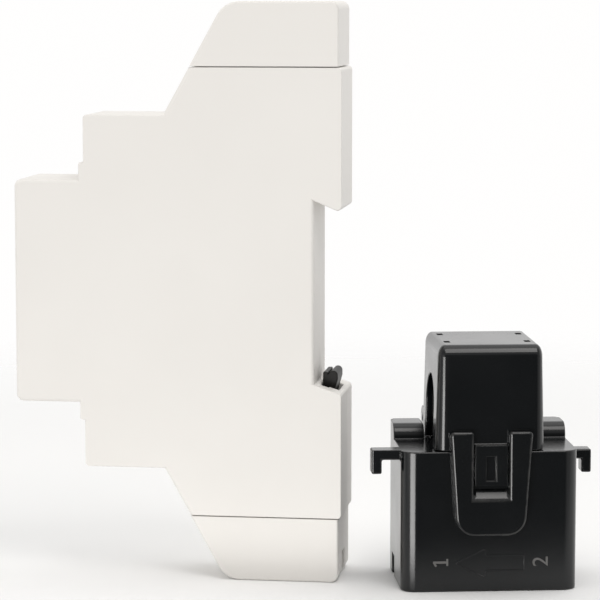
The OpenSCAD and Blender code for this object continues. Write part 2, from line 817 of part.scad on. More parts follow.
module top_busbars() {
    color([0.80, 0.66, 0.45]) busbars();
}

module bottom_busbars() {
    color([0.80, 0.66, 0.45]) at_end(false) busbars();
}

module top_screw_left() {
    color(metal_colour) clamp_screw(pole_y);
}

module top_screw_right() {
    color(metal_colour) clamp_screw(-pole_y);
}

module bottom_screw_left() {
    color(metal_colour) at_end(false) clamp_screw(pole_y);
}

module bottom_screw_right() {
    color(metal_colour) at_end(false) clamp_screw(-pole_y);
}

module top_cage_left() {
    color(metal_colour) clamp_cage(pole_y);
}

module top_cage_right() {
    color(metal_colour) clamp_cage(-pole_y);
}

module bottom_cage_left() {
    color(metal_colour) at_end(false) clamp_cage(pole_y);
}

module bottom_cage_right() {
    color(metal_colour) at_end(false) clamp_cage(-pole_y);
}

// Tie hook on the left end of the base, near its front
module tie_hook() {
    near = -sensor_w / 2;
    y0 = front_y + base_r;
    slab(y0, y0 + hook_w) polygon([
        [near + base_wall, base_h - hook_t],
        [near + base_wall, base_h],
        [near - hook_reach, base_h],
        [near - hook_reach, base_h - hook_drop],
        [near - hook_reach + hook_t, base_h - hook_drop],
        [near - hook_reach + hook_t, base_h - hook_t]
    ]);
}

// Blocks that rise beside the jaw at the back of the shelf
module hinge_blocks() {
    side = [
        [back_y - block_d, base_h - cut, 0],
        [back_y, base_h - cut, 0],
        [back_y, base_h + block_h, edge_r],
        [back_y - block_d, base_h + block_h, min(block_r, block_h)]
    ];
    for (x = [-1, 1]) mirror([x < 0 ? 1 : 0, 0, 0]) intersection() {
        bar(block_in, sensor_w / 2) polygon(outline(side));
        linear_extrude(jaw_top) round_rect(sensor_w, sensor_d, base_r);
    }
}

// Middle ear of the hinge, on a gusset down the back of the base
module hinge_ear() {
    r = knuckle_d / 2;
    translate([0, hinge_y, hinge_z]) rod_x(knuckle_d, -ear_half, ear_half);
    bar(-ear_half, ear_half) polygon([
        [back_y - base_wall / 2, base_h - ear_drop],
        [back_y, base_h - ear_drop],
        [hinge_y + r, base_h],
        [hinge_y + r, hinge_z],
        [hinge_y - r, hinge_z],
        [hinge_y - r, base_h - jaw_gap],
        [back_y - base_wall / 2, base_h - jaw_gap]
    ]);
}

module sensor_base() {
    window_in = leg_in - core_gap;
    window_out = leg_out + core_gap;
    color(sensor_colour) at_sensor() difference() {
        union() {
            linear_extrude(base_h) round_rect(sensor_w, sensor_d, base_r);
            hinge_blocks();
            hinge_ear();
            tie_hook();
            rotate([0, 0, 180]) translate([0, 0, -hook_step]) tie_hook();
        }
        translate([0, 0, -cut]) linear_extrude(base_h - base_wall + cut)
            round_rect(sensor_w - 2 * base_wall, sensor_d - 2 * base_wall, base_r - base_wall);
        for (turn = [0, 180]) rotate([0, 0, turn])
            box([-core_w / 2 - core_gap, window_in, base_h - 2 * base_wall],
                [core_w / 2 + core_gap, window_out, base_h + cut]);
        translate([0, hinge_y, hinge_z]) rod_x(hinge_pin_d + metal_gap / 2, -jaw_w, jaw_w);
        translate([-sensor_w / 2, outlet_w, 0])
            box([-cut, -outlet_w / 2, -cut], [base_wall + cut, outlet_w / 2, outlet_h]);
    }
}

// Plate that closes the base from below, with ribs under the former
module sensor_floor() {
    w = sensor_w - 2 * base_wall - 2 * fit_gap;
    d = sensor_d - 2 * base_wall - 2 * fit_gap;
    rib_top = core_rise - former_out - core_gap;
    color(sensor_colour) at_sensor() {
        linear_extrude(floor_t) round_rect(w, d, base_r - base_wall);
        for (turn = [0, 180]) rotate([0, 0, turn])
            box([-core_w / 2, former_y - former_wall, 0], [core_w / 2, former_y, rib_top]);
    }
}

// Outline of the conductor opening: round above, straight down to the shelf
module opening_outline(r, low) {
    translate([0, opening_z]) circle(r);
    translate([-r, low]) square([2 * r, opening_z - low]);
}

// Corners of the jaw seen from one side, rounded above
function jaw_arch(half) = [
    [-half, jaw_low, 0], [half, jaw_low, 0], [half, jaw_top, jaw_r], [-half, jaw_top, jaw_r]
];

// What a ball takes off the corner where three rounded edges of the jaw meet
module jaw_corner() {
    difference() {
        cube(jaw_r + cut);
        sphere(jaw_r);
    }
}

module sensor_jaw() {
    half = jaw_w / 2;
    room_x = core_w / 2 + fit_gap;
    room_y = jaw_d / 2 - jaw_wall;
    pit = [half, jaw_d / 2] - pit_edge;
    color(sensor_colour) at_sensor() difference() {
        union() {
            difference() {
                intersection() {
                    bar(-half, half) polygon(outline(jaw_arch(jaw_d / 2)));
                    slab(-jaw_d / 2, jaw_d / 2) polygon(outline(jaw_arch(half)));
                    linear_extrude(jaw_top) round_rect(jaw_w, jaw_d, jaw_r);
                }
                for (x = [-1, 1], y = [-1, 1]) mirror([x < 0 ? 1 : 0, 0, 0]) mirror([0, y < 0 ? 1 : 0, 0])
                    translate([half - jaw_r, jaw_d / 2 - jaw_r, jaw_top - jaw_r]) jaw_corner();
            }
            for (x = [-1, 1]) mirror([x < 0 ? 1 : 0, 0, 0]) {
                translate([0, hinge_y, hinge_z]) rod_x(knuckle_d, knuckle_in, knuckle_out);
                box([knuckle_in, jaw_d / 2 - jaw_wall / 2, hinge_z - knuckle_d / 2],
                    [knuckle_out, hinge_y, hinge_z + knuckle_d / 2]);
            }
            tongue();
        }
        box([-room_x, -room_y, 0], [room_x, room_y, jaw_top - jaw_wall]);
        bar(-jaw_w, jaw_w) opening_outline(opening_r, 0);
        translate([0, hinge_y, hinge_z]) rod_x(hinge_pin_d + metal_gap, -jaw_w, jaw_w);
        for (x = [-1, 1], y = [-1, 1])
            translate([x * pit.x, y * pit.y, jaw_top]) cube([pit_w, pit_w, jaw_wall], center = true);
    }
}

// Tongue of the jaw that drops into the window of the latch, with a slot between two ribs
module tongue() {
    half = window_w / 2 - tongue_gap;
    low = base_h - window_drop + 2 * tongue_gap;
    high = base_h + tongue_rise;
    front = latch_y - tongue_t;
    difference() {
        union() {
            box([-half, front, low], [half, latch_y, high]);
            box([-half, front, jaw_low], [half, front_y + jaw_step + jaw_wall / 2, high]);
        }
        box([-tongue_slot / 2, front - cut, low + tongue_edge],
            [tongue_slot / 2, front + tongue_edge, base_h - tongue_edge]);
    }
}

// Arched lining between the core and the conductor
module jaw_liner() {
    half = core_w / 2;
    color([0.10, 0.10, 0.11]) at_sensor() bar(-half, half) difference() {
        opening_outline(liner_r, jaw_low);
        opening_outline(opening_r, jaw_low - cut);
    }
}

module upper_core() {
    low = base_h + core_gap / 2;
    color([0.22, 0.22, 0.23]) at_sensor() bar(-core_w / 2, core_w / 2) difference() {
        translate([-leg_out, low]) square([2 * leg_out, core_top - low]);
        opening_outline(leg_in, 0);
    }
}

module lower_core() {
    color([0.22, 0.22, 0.23]) at_sensor() bar(-core_w / 2, core_w / 2) difference() {
        translate([-leg_out, core_rise]) square([2 * leg_out, base_h - core_gap / 2 - core_rise]);
        translate([-leg_in, core_rise + yoke_h]) square([2 * leg_in, base_h]);
    }
}

// Box around the yoke of the lower core, grown by a margin
module around_yoke(margin, half_y) {
    box([-core_w / 2 - margin, -half_y, core_rise - margin],
        [core_w / 2 + margin, half_y, core_rise + yoke_h + margin]);
}

module coil_former() {
    color([0.85, 0.84, 0.80]) at_sensor() difference() {
        around_yoke(former_out, former_y);
        difference() {
            around_yoke(former_out + cut, former_y - former_wall);
            around_yoke(fit_gap + former_wall, sensor_d);
        }
        around_yoke(fit_gap, sensor_d);
    }
}

module coil_winding() {
    color([0.72, 0.40, 0.20]) at_sensor() difference() {
        around_yoke(former_out - fit_gap, former_y - former_wall - fit_gap);
        around_yoke(fit_gap + former_wall + solder_gap, sensor_d);
    }
}

// Bowed leaf between the upper core and the top of the jaw
module core_spring() {
    rise = spring_room - spring_t - 2 * solder_gap;
    steps = 2 * arc_steps;
    function bow(i, lift) = let (t = 2 * i / steps - 1) [leg_in * t, lift + rise * (1 - t * t)];
    strip = concat([for (i = [0:steps]) bow(i, 0)], [for (i = [steps:-1:0]) bow(i, spring_t)]);
    color(metal_colour) at_sensor() translate([0, 0, core_top + solder_gap])
        bar(-spring_w / 2, spring_w / 2) polygon(strip);
}

module hinge_pin() {
    color(metal_colour) at_sensor() translate([0, hinge_y, hinge_z])
        rod_x(hinge_pin_d, -knuckle_out, knuckle_out);
}

// Sprung plate on the front of the base, with two prongs beside the tongue of the jaw
module sensor_latch() {
    low = base_h - latch_drop;
    sill = base_h - window_drop;
    plate = [
        [-latch_foot_w / 2, low, latch_foot_r],
        [latch_foot_w / 2, low, latch_foot_r],
        [latch_w / 2, base_h + prong_rise, edge_r],
        [-latch_w / 2, base_h + prong_rise, edge_r]
    ];
    color(sensor_colour) at_sensor() difference() {
        slab(latch_y - latch_t, latch_y) polygon(outline(plate));
        box([-window_w / 2, latch_y - latch_t - cut, sill], [window_w / 2, latch_y + cut, jaw_top]);
        bar(-window_w / 2, window_w / 2) polygon([
            [latch_y - latch_t - cut, sill + cut],
            [latch_y - latch_t - cut, sill - window_ramp - cut * window_ramp / latch_t],
            [latch_y, sill],
            [latch_y, sill + cut]
        ]);
    }
}

case_left();
case_right();
top_cover();
bottom_cover();
rail_clip();
front_panel();
light_guide();
push_button();
switch_plunger();
tact_switch();
indicator_lights();
main_board();
radio_module();
metering_chip();
film_capacitor();
bulk_capacitors();
varistor();
fuse();
top_block();
bottom_block();
top_busbars();
bottom_busbars();
top_screw_left();
top_screw_right();
bottom_screw_left();
bottom_screw_right();
top_cage_left();
top_cage_right();
bottom_cage_left();
bottom_cage_right();
sensor_base();
sensor_floor();
sensor_jaw();
jaw_liner();
upper_core();
lower_core();
coil_former();
coil_winding();
core_spring();
hinge_pin();
sensor_latch();
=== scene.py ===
import json
import math

import bmesh
import bpy
from mathutils import Matrix, Vector


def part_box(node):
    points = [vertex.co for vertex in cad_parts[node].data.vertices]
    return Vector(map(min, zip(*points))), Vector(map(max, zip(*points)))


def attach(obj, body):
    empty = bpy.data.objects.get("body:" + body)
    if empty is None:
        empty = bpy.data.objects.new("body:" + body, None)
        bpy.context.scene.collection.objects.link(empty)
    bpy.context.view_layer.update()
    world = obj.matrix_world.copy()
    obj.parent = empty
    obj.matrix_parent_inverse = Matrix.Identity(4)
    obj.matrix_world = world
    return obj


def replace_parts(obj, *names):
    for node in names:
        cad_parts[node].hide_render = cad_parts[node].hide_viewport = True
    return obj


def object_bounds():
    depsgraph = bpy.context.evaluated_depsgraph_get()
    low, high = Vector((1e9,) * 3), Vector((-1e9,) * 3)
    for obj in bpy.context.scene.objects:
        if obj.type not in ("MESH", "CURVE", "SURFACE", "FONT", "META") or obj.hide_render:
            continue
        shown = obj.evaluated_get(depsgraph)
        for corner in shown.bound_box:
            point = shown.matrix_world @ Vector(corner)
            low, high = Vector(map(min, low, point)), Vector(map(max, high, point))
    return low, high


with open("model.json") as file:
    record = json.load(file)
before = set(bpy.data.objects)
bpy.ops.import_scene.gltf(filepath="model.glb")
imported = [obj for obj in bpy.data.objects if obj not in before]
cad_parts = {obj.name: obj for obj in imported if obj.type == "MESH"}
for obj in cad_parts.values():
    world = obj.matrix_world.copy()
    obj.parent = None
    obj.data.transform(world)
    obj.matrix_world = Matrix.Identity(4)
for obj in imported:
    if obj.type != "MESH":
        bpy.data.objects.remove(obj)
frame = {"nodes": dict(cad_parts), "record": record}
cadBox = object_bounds()
nodes = frame["nodes"]
record = frame["record"]
mm = 0.001
bodyOf = {node: body for body, members in record["behaviour"]["bodies"].items() for node in members}
slotOf = {part["node"]: part["material_slot"] for part in record["subparts"]}
mounts = {mount["name"]: mount for mount in record["mounts"]}

# the sensor has its own upright frame: its foot, and the way its conductor runs
sensorFoot = Vector(mounts["sensor_underside"]["pos_m"])
conductorWay = Vector(mounts["conductor_opening"]["axis"])
sensorTurn = math.atan2(conductorWay.y, conductorWay.x)
sensorPlace = Matrix.Translation(sensorFoot) @ Matrix.Rotation(sensorTurn, 4, "Z")
toSensor = sensorPlace.inverted()
baseFront = min((toSensor @ vert.co).y for vert in nodes["sensor_base"].data.vertices)
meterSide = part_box("case_right")[0].y  # flank that faces the camera


# ways of building shader and geometry trees

def addNode(tree, kind, sockets=None, **settings):
    made = tree.nodes.new(kind)
    for key, value in settings.items():
        setattr(made, key, value)
    for key, value in (sockets or {}).items():
        made.inputs[key].default_value = value
    return made


def newTree(name, kind, inputs, outputs):
    tree = bpy.data.node_groups.new(name, kind)
    for label, socketKind, value in inputs:
        socket = tree.interface.new_socket(name=label, in_out="INPUT", socket_type=socketKind)
        if value is not None:
            socket.default_value = value
    for label, socketKind in outputs:
        tree.interface.new_socket(name=label, in_out="OUTPUT", socket_type=socketKind)
    return tree, tree.nodes.new("NodeGroupInput"), tree.nodes.new("NodeGroupOutput")


# fine texture and slow clouding of a moulded skin
def buildMouldSkin():
    tree, given, result = newTree(
        "mouldSkin", "ShaderNodeTree",
        [("Grain Scale", "NodeSocketFloat", 2600.0), ("Cloud Scale", "NodeSocketFloat", 45.0)],
        [("Cloud", "NodeSocketFloat"), ("Grain", "NodeSocketFloat")])
    link = tree.links.new
    place = addNode(tree, "ShaderNodeTexCoord")
    grain = addNode(tree, "ShaderNodeTexNoise", {"Detail": 3.0, "Roughness": 0.6})
    cloud = addNode(tree, "ShaderNodeTexNoise", {"Detail": 4.0, "Roughness": 0.55})
    link(place.outputs["Object"], grain.inputs["Vector"])
    link(place.outputs["Object"], cloud.inputs["Vector"])
    link(given.outputs["Grain Scale"], grain.inputs["Scale"])
    link(given.outputs["Cloud Scale"], cloud.inputs["Scale"])
    link(cloud.outputs["Fac"], result.inputs["Cloud"])
    link(grain.outputs["Fac"], result.inputs["Grain"])
    return tree


# rounded edges lightened in patches: partly real wear where hands and packing have rubbed them, partly a
# painted highlight along the edges
def buildEdgeWearAndSheen():
    tree, given, result = newTree(
        "edgeWearAndSheen", "ShaderNodeTree",
        [("Patch Scale", "NodeSocketFloat", 400.0), ("Amount", "NodeSocketFloat", 0.5)],
        [("Mask", "NodeSocketFloat")])
    link = tree.links.new
    place = addNode(tree, "ShaderNodeTexCoord")
    patches = addNode(tree, "ShaderNodeTexNoise", {"Detail": 3.0})
    rounded = addNode(tree, "ShaderNodeAttribute", attribute_name="rounded")
    spread = addNode(tree, "ShaderNodeMapRange", {"From Min": 0.35, "From Max": 0.7})
    onEdge = addNode(tree, "ShaderNodeMath", operation="MULTIPLY")
    amount = addNode(tree, "ShaderNodeMath", operation="MULTIPLY", use_clamp=True)
    link(place.outputs["Object"], patches.inputs["Vector"])
    link(given.outputs["Patch Scale"], patches.inputs["Scale"])
    link(patches.outputs["Fac"], spread.inputs["Value"])
    link(spread.outputs["Result"], onEdge.inputs[0])
    link(rounded.outputs["Fac"], onEdge.inputs[1])
    link(onEdge.outputs["Value"], amount.inputs[0])
    link(given.outputs["Amount"], amount.inputs[1])
    link(amount.outputs["Value"], result.inputs["Mask"])
    return tree


# long fine scratches of drawn or plated metal
def buildDrawnMetal():
    tree, given, result = newTree(
        "drawnMetal", "ShaderNodeTree",
        [("Line Scale", "NodeSocketFloat", 900.0), ("Stretch", "NodeSocketVector", (1.0, 12.0, 1.0))],
        [("Lines", "NodeSocketFloat")])
    link = tree.links.new
    place = addNode(tree, "ShaderNodeTexCoord")
    pull = addNode(tree, "ShaderNodeVectorMath", operation="MULTIPLY")
    lines = addNode(tree, "ShaderNodeTexNoise", {"Detail": 4.0, "Roughness": 0.65})
    link(place.outputs["Object"], pull.inputs[0])
    link(given.outputs["Stretch"], pull.inputs[1])
    link(pull.outputs["Vector"], lines.inputs["Vector"])
    link(given.outputs["Line Scale"], lines.inputs["Scale"])
    link(lines.outputs["Fac"], result.inputs["Lines"])
    return tree


mouldSkin = buildMouldSkin()
edgeWearAndSheen = buildEdgeWearAndSheen()
drawnMetal = buildDrawnMetal()


def placeGroup(tree, group, **values):
    made = tree.nodes.new("ShaderNodeGroup")
    made.node_tree = group
    for key, value in values.items():
        made.inputs[key.replace("_", " ")].default_value = value
    return made


def mixColour(tree, factor, first, second):
    mix = tree.nodes.new("ShaderNodeMix")
    mix.data_type = "RGBA"
    tree.links.new(factor, mix.inputs["Factor"])
    for socket, colour in ((mix.inputs["A"], first), (mix.inputs["B"], second)):
        if isinstance(colour, bpy.types.NodeSocket):
            tree.links.new(colour, socket)
        else:
            socket.default_value = (*colour, 1.0)
    return mix.outputs["Result"]


def newMaterial(name):
    material = bpy.data.materials.new(name)
    material.use_nodes = True
    return material, material.node_tree, material.node_tree.nodes["Principled BSDF"]


# moulded plastic: clouded colour, rounded edges lightened as wear and as a painted highlight, fine grain
plasticSkin = dict(patchesPerCloud=8.0, cloudSpan=(0.3, 0.7))


def mouldedPlastic(name, look):
    material, tree, shader = newMaterial(name)
    link = tree.links.new
    skin = placeGroup(tree, mouldSkin, Grain_Scale=look["grainScale"], Cloud_Scale=look["cloudScale"])
    patchScale = look["cloudScale"] * plasticSkin["patchesPerCloud"]
    # mask of the rounded edges that take the lighter colour: wear, and a painted highlight along them
    wearAndSheen = placeGroup(tree, edgeWearAndSheen, Patch_Scale=patchScale, Amount=look["wearAndSheen"])
    body = mixColour(tree, skin.outputs["Cloud"], look["colour"], look["clouded"])
    link(mixColour(tree, wearAndSheen.outputs["Mask"], body, look["wearAndSheenColour"]), shader.inputs["Base Color"])
    least, most = plasticSkin["cloudSpan"]
    gloss = addNode(tree, "ShaderNodeMapRange", {"From Min": least, "From Max": most,
                                                 "To Min": look["rough"][0], "To Max": look["rough"][1]})
    link(skin.outputs["Cloud"], gloss.inputs["Value"])
    link(gloss.outputs["Result"], shader.inputs["Roughness"])
    bump = addNode(tree, "ShaderNodeBump", {"Strength": look["bump"], "Distance": look["depth"]})
    link(skin.outputs["Grain"], bump.inputs["Height"])
    link(bump.outputs["Normal"], shader.inputs["Normal"])
    shader.inputs["Specular IOR Level"].default_value = look["specular"]
    return material


# plated or bare metal
metalLines = dict(bump=0.25, depth=0.02 * mm)


def finishedMetal(name, look):
    material, tree, shader = newMaterial(name)
    link = tree.links.new
    drawn = placeGroup(tree, drawnMetal, Line_Scale=look["lineScale"], Stretch=look["stretch"])
    link(mixColour(tree, drawn.outputs["Lines"], look["colour"], look["dull"]), shader.inputs["Base Color"])
    gloss = addNode(tree, "ShaderNodeMapRange", {"To Min": look["rough"][0], "To Max": look["rough"][1]})
    link(drawn.outputs["Lines"], gloss.inputs["Value"])
    link(gloss.outputs["Result"], shader.inputs["Roughness"])
    bump = addNode(tree, "ShaderNodeBump", {"Strength": metalLines["bump"], "Distance": metalLines["depth"]})
    link(drawn.outputs["Lines"], bump.inputs["Height"])
    link(bump.outputs["Normal"], shader.inputs["Normal"])
    shader.inputs["Metallic"].default_value = 1.0
    return material


plasticLooks = {
    "case_white": dict(
        colour=(0.835, 0.812, 0.775), clouded=(0.820, 0.795, 0.757), wearAndSheenColour=(0.86, 0.84, 0.81),
        wearAndSheen=0.35, rough=(0.46, 0.56), specular=0.42,
        grainScale=2600.0, cloudScale=38.0, bump=0.10, depth=0.02 * mm),
    "clip_black": dict(
        colour=(0.0060, 0.0055, 0.0050), clouded=(0.0090, 0.0080, 0.0075), wearAndSheenColour=(0.030, 0.029, 0.028),
        wearAndSheen=0.3, rough=(0.36, 0.46), specular=0.14,
        grainScale=2400.0, cloudScale=90.0, bump=0.12, depth=0.02 * mm),
    "panel_grey": dict(
        colour=(0.60, 0.60, 0.585), clouded=(0.57, 0.57, 0.56), wearAndSheenColour=(0.70, 0.70, 0.69),
        wearAndSheen=0.4, rough=(0.38, 0.48), specular=0.45,
        grainScale=3200.0, cloudScale=60.0, bump=0.08, depth=0.02 * mm),
    "block_white": dict(
        colour=(0.62, 0.62, 0.59), clouded=(0.58, 0.58, 0.55), wearAndSheenColour=(0.70, 0.70, 0.68),
        wearAndSheen=0.3, rough=(0.42, 0.54), specular=0.42,
        grainScale=2600.0, cloudScale=80.0, bump=0.10, depth=0.02 * mm),
    "switch_black": dict(
        colour=(0.014, 0.014, 0.016), clouded=(0.022, 0.022, 0.024), wearAndSheenColour=(0.05, 0.05, 0.05),
        wearAndSheen=0.3, rough=(0.40, 0.52), specular=0.4,
        grainScale=2600.0, cloudScale=120.0, bump=0.10, depth=0.02 * mm),
    "film_yellow": dict(
        colour=(0.53, 0.35, 0.034), clouded=(0.49, 0.32, 0.03), wearAndSheenColour=(0.62, 0.45, 0.08),
        wearAndSheen=0.3, rough=(0.22, 0.32), specular=0.5,
        grainScale=1800.0, cloudScale=90.0, bump=0.06, depth=0.02 * mm),
    "varistor_blue": dict(
        colour=(0.013, 0.05, 0.26), clouded=(0.012, 0.042, 0.22), wearAndSheenColour=(0.03, 0.09, 0.35),
        wearAndSheen=0.3, rough=(0.18, 0.30), specular=0.5,
        grainScale=900.0, cloudScale=90.0, bump=0.12, depth=0.04 * mm),
    "fuse_tan": dict(
        colour=(0.38, 0.32, 0.21), clouded=(0.34, 0.28, 0.18), wearAndSheenColour=(0.45, 0.39, 0.28),
        wearAndSheen=0.3, rough=(0.30, 0.42), specular=0.45,
        grainScale=1600.0, cloudScale=140.0, bump=0.08, depth=0.02 * mm),
    # the sensor's rounded edges take a colour far lighter than its black: a painted highlight along its edges
    "sensor_black": dict(
        colour=(0.0030, 0.0038, 0.0045), clouded=(0.0042, 0.0050, 0.0056), wearAndSheenColour=(0.050, 0.049, 0.047),
        wearAndSheen=0.50, rough=(0.15, 0.21), specular=0.50,
        grainScale=1500.0, cloudScale=70.0, bump=0.05, depth=0.02 * mm),
    "core_iron": dict(
        colour=(0.035, 0.035, 0.037), clouded=(0.05, 0.05, 0.052), wearAndSheenColour=(0.10, 0.10, 0.10),
        wearAndSheen=0.4, rough=(0.45, 0.60), specular=0.4,
        grainScale=3500.0, cloudScale=200.0, bump=0.25, depth=0.03 * mm),
}
metalLooks = {
    "steel": dict(colour=(0.62, 0.62, 0.63), dull=(0.48, 0.48, 0.49), rough=(0.24, 0.40), lineScale=900.0,
                  stretch=(1.0, 8.0, 8.0)),
    "brass": dict(colour=(0.72, 0.55, 0.24), dull=(0.58, 0.42, 0.18), rough=(0.22, 0.38), lineScale=700.0,
                  stretch=(6.0, 6.0, 1.0)),
    "copper": dict(colour=(0.62, 0.22, 0.075), dull=(0.48, 0.15, 0.05), rough=(0.18, 0.30), lineScale=600.0,
                   stretch=(2.0, 8.0, 2.0)),
}
materials = {slot: mouldedPlastic(slot + "_look", look) for slot, look in plasticLooks.items()}
materials.update({slot: finishedMetal(slot + "_look", look) for slot, look in metalLooks.items()})


# lacquered board with copper lines under the mask
boardLook = dict(mask=(0.010, 0.070, 0.026), line=(0.022, 0.130, 0.050), rough=0.28,
                 lineScale=210.0, lineEdge=(0.05, 0.09), bump=0.3, depth=0.03 * mm)


def boardMaterial():
    material, tree, shader = newMaterial("board_green_look")
    link = tree.links.new
    place = addNode(tree, "ShaderNodeTexCoord")
    lines = addNode(tree, "ShaderNodeTexVoronoi", {"Scale": boardLook["lineScale"]},
                    feature="DISTANCE_TO_EDGE", distance="MANHATTAN")
    near, far = boardLook["lineEdge"]
    edge = addNode(tree, "ShaderNodeMapRange", {"From Min": near, "From Max": far})
    link(place.outputs["Object"], lines.inputs["Vector"])
    link(lines.outputs["Distance"], edge.inputs["Value"])
    lacquer = mixColour(tree, edge.outputs["Result"], boardLook["line"], boardLook["mask"])
    link(lacquer, shader.inputs["Base Color"])
    bump = addNode(tree, "ShaderNodeBump", {"Strength": boardLook["bump"], "Distance": boardLook["depth"]})
    link(edge.outputs["Result"], bump.inputs["Height"])
    link(bump.outputs["Normal"], shader.inputs["Normal"])
    shader.inputs["Roughness"].default_value = boardLook["rough"]
    return material


# clear light guide, frosted a little by its mould
guideLook = dict(tint=(0.72, 0.74, 0.72), frost=(0.80, 0.81, 0.80), grainScale=1800.0, cloudScale=120.0,
                 rough=0.22, refraction=1.49, transmission=0.55, bump=0.15, depth=0.02 * mm)


def guideMaterial():
    material, tree, shader = newMaterial("light_clear_look")
    link = tree.links.new
    skin = placeGroup(tree, mouldSkin, Grain_Scale=guideLook["grainScale"],
                      Cloud_Scale=guideLook["cloudScale"])
    frosted = mixColour(tree, skin.outputs["Cloud"], guideLook["tint"], guideLook["frost"])
    link(frosted, shader.inputs["Base Color"])
    bump = addNode(tree, "ShaderNodeBump", {"Strength": guideLook["bump"], "Distance": guideLook["depth"]})
    link(skin.outputs["Grain"], bump.inputs["Height"])
    link(bump.outputs["Normal"], shader.inputs["Normal"])
    shader.inputs["Roughness"].default_value = guideLook["rough"]
    shader.inputs["IOR"].default_value = guideLook["refraction"]
    shader.inputs["Transmission Weight"].default_value = guideLook["transmission"]
    return material


materials["board_green"] = boardMaterial()
materials["light_clear"] = guideMaterial()
materials["print_grey"] = mouldedPlastic("print_grey_look", dict(
    colour=(0.135, 0.132, 0.128), clouded=(0.105, 0.103, 0.100), wearAndSheenColour=(0.135, 0.132, 0.128), wearAndSheen=0.0,
    rough=(0.45, 0.6), specular=0.35, grainScale=5200.0, cloudScale=600.0, bump=0.15, depth=0.01 * mm))
print("materials:", len(materials))


# pieces: a mesh in the shared frame, riding its body with its slot's finish

def keepPiece(name, mesh, node, finish=None):
    slot = slotOf[node]
    mesh.materials.clear()
    mesh.materials.append(materials[finish or slot])
    piece = bpy.data.objects.new(name, mesh)
    bpy.context.scene.collection.objects.link(piece)
    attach(piece, bodyOf[node])
    return piece


# rounding of sharp edges
rounding = dict(
    sharp=28.0, segments=3,  # degrees between two faces from which their edge is rounded, and faces across it
    share=0.42, arcShare=0.8,  # of the room in a face, and of an arc's radius
    arcStep=2.0, corner=40.0, farSide=100.0,  # degrees of turn: on an arc, at a corner, right round an end
    change=0.3,  # how fast a width may change along a bend
    flat=0.3, weld=0.0002 * mm,  # degrees and distance within which faces and points are one
    slack=1e-9, tiny=1e-18)  # small enough to count as nothing
edgeMarks = ("flat", "rounded")
markMaterials = [bpy.data.materials.new(mark) for mark in edgeMarks]


# turn from one edge of a face's outline to the next, and whether the outline bulges there
def turnAt(loop):
    before = loop.vert.co - loop.link_loop_prev.vert.co
    after = loop.link_loop_next.vert.co - loop.vert.co
    return before.angle(after, 0.0), before.cross(after).dot(loop.face.normal) > 0


def spotToEdge(spot, edge):
    first, last = edge.verts[0].co, edge.verts[1].co
    along = last - first
    share = max(0.0, min(1.0, (spot - first).dot(along) / max(along.length_squared, rounding["tiny"])))
    return (first + along * share - spot).length


# room that an edge has for its rounding in one of its faces: less than half the way to what lies opposite,
# less than half of its neighbours at corners, less than the radius on a bulging arc
def roomInFace(loop):
    edge, face = loop.edge, loop.face
    room = math.inf
    smoothRun = {edge}
    for step, corner in ((1, loop.link_loop_next), (-1, loop)):
        turned = 0.0
        first = True
        while turned < math.radians(rounding["farSide"]):
            angle, bulges = turnAt(corner)
            beside = corner if step > 0 else corner.link_loop_prev
            if beside.edge is edge:
                break
            if angle > math.radians(rounding["corner"]):
                if first:
                    room = min(room, rounding["share"] * beside.edge.calc_length())
                    smoothRun.add(beside.edge)
                break
            if first and bulges and angle > math.radians(rounding["arcStep"]):
                radius = edge.calc_length() / (2 * math.tan(angle / 2))
                room = min(room, rounding["arcShare"] * radius)
            smoothRun.add(beside.edge)
            turned += angle
            first = False
            corner = corner.link_loop_next if step > 0 else corner.link_loop_prev
    for other in face.edges:
        if other not in smoothRun:
            gaps = [spotToEdge(vert.co, other) for vert in edge.verts]
            gaps += [spotToEdge(vert.co, edge) for vert in other.verts]
            room = min(room, rounding["share"] * min(gaps))
    return room


# widths change only slowly from edge to edge along a smooth line, or the rounded strips would cross
def evenOut(widths):
    pairs = []
    for edge in widths:
        for vert in edge.verts:
            for other in vert.link_edges:
                if other in widths and other is not edge:
                    ahead = edge.other_vert(vert).co - vert.co
                    turn = ahead.angle(vert.co - other.other_vert(vert).co, 0.0)
                    if turn < math.radians(rounding["corner"]):
                        length = min(edge.calc_length(), other.calc_length())
                        pairs.append((edge, other, rounding["change"] * math.sin(turn) * length))
    changed = True
    while changed:
        changed = False
        for edge, other, step in pairs:
            if widths[edge] > widths[other] + step + rounding["slack"]:
                widths[edge] = widths[other] + step
                changed = True


# plain mesh of an object with its modifiers, after which the object goes
def bakedMesh(holder):
    bpy.context.view_layer.update()
    seen = holder.evaluated_get(bpy.context.evaluated_depsgraph_get())
    mesh = bpy.data.meshes.new_from_object(seen)
    source = holder.data
    bpy.data.objects.remove(holder)
    if isinstance(source, bpy.types.Mesh):
        bpy.data.meshes.remove(source)
    else:
        bpy.data.curves.remove(source)
    return mesh


